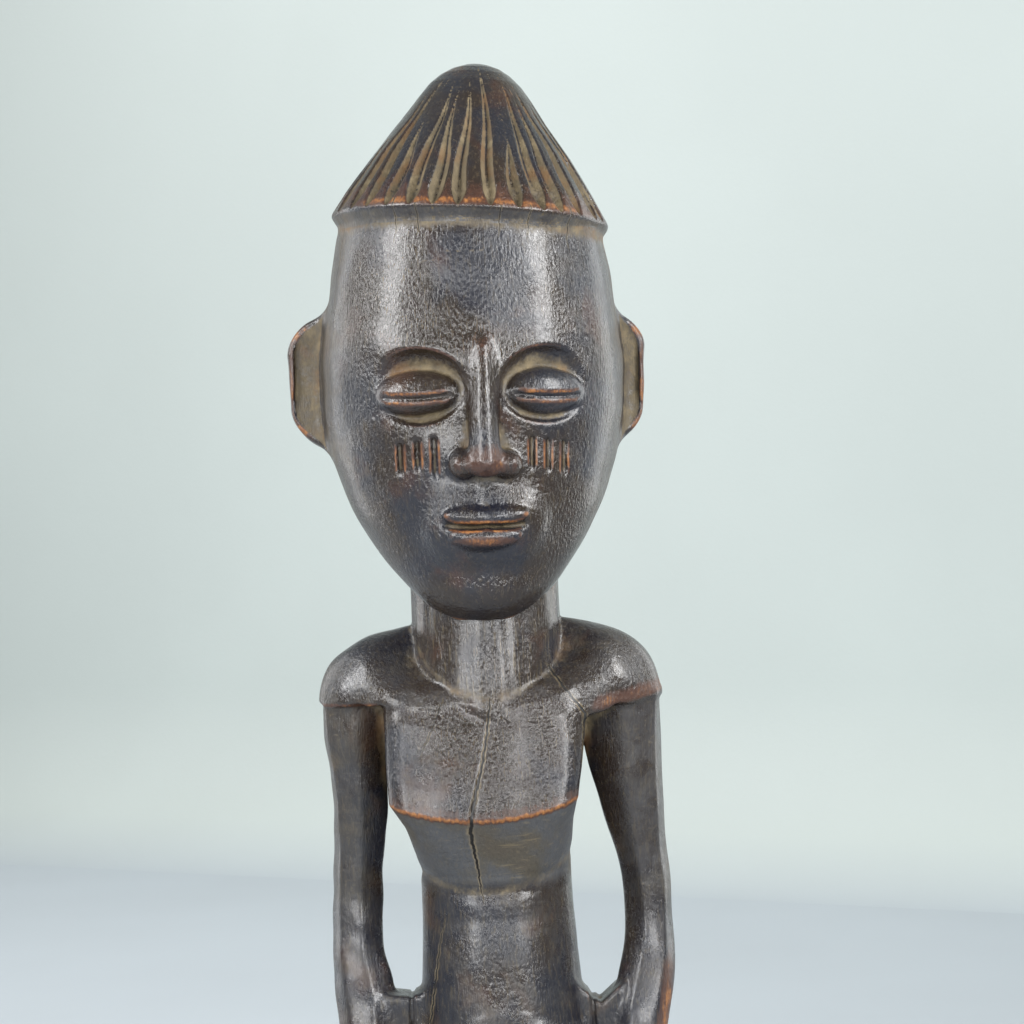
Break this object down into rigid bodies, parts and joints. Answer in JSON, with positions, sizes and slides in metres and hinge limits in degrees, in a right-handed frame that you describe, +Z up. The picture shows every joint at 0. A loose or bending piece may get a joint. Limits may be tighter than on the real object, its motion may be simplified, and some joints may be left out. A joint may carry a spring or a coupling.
{
  "type": "carved wooden ancestor figure",
  "caption": "Standing carved hardwood ancestor figure with a ribbed conical cap, arms bowed clear of the waist, hands on the hips and a round base.",
  "frame": {"origin": "centre of the flat underside of the round base", "axes": "+Z up along the figure; the figure faces -Y; its own left side is towards +X"},
  "size_m": [0.112, 0.112, 0.4498],
  "materials": {
    "dark_wood": "dark handled patina, satin to semi-gloss, worn orange-brown on the edges"
  },
  "bodies": {
    "root": {"base": "dark_wood", "hips": "dark_wood", "waist": "dark_wood", "chest": "dark_wood", "shoulders": "dark_wood", "neck": "dark_wood", "head": "dark_wood", "cap": "dark_wood", "left_foot": "dark_wood", "left_calf": "dark_wood", "left_thigh": "dark_wood", "left_arm": "dark_wood", "left_hand": "dark_wood", "left_ear": "dark_wood", "right_foot": "dark_wood", "right_calf": "dark_wood", "right_thigh": "dark_wood", "right_arm": "dark_wood", "right_hand": "dark_wood", "right_ear": "dark_wood"}
  },
  "joints": []
}
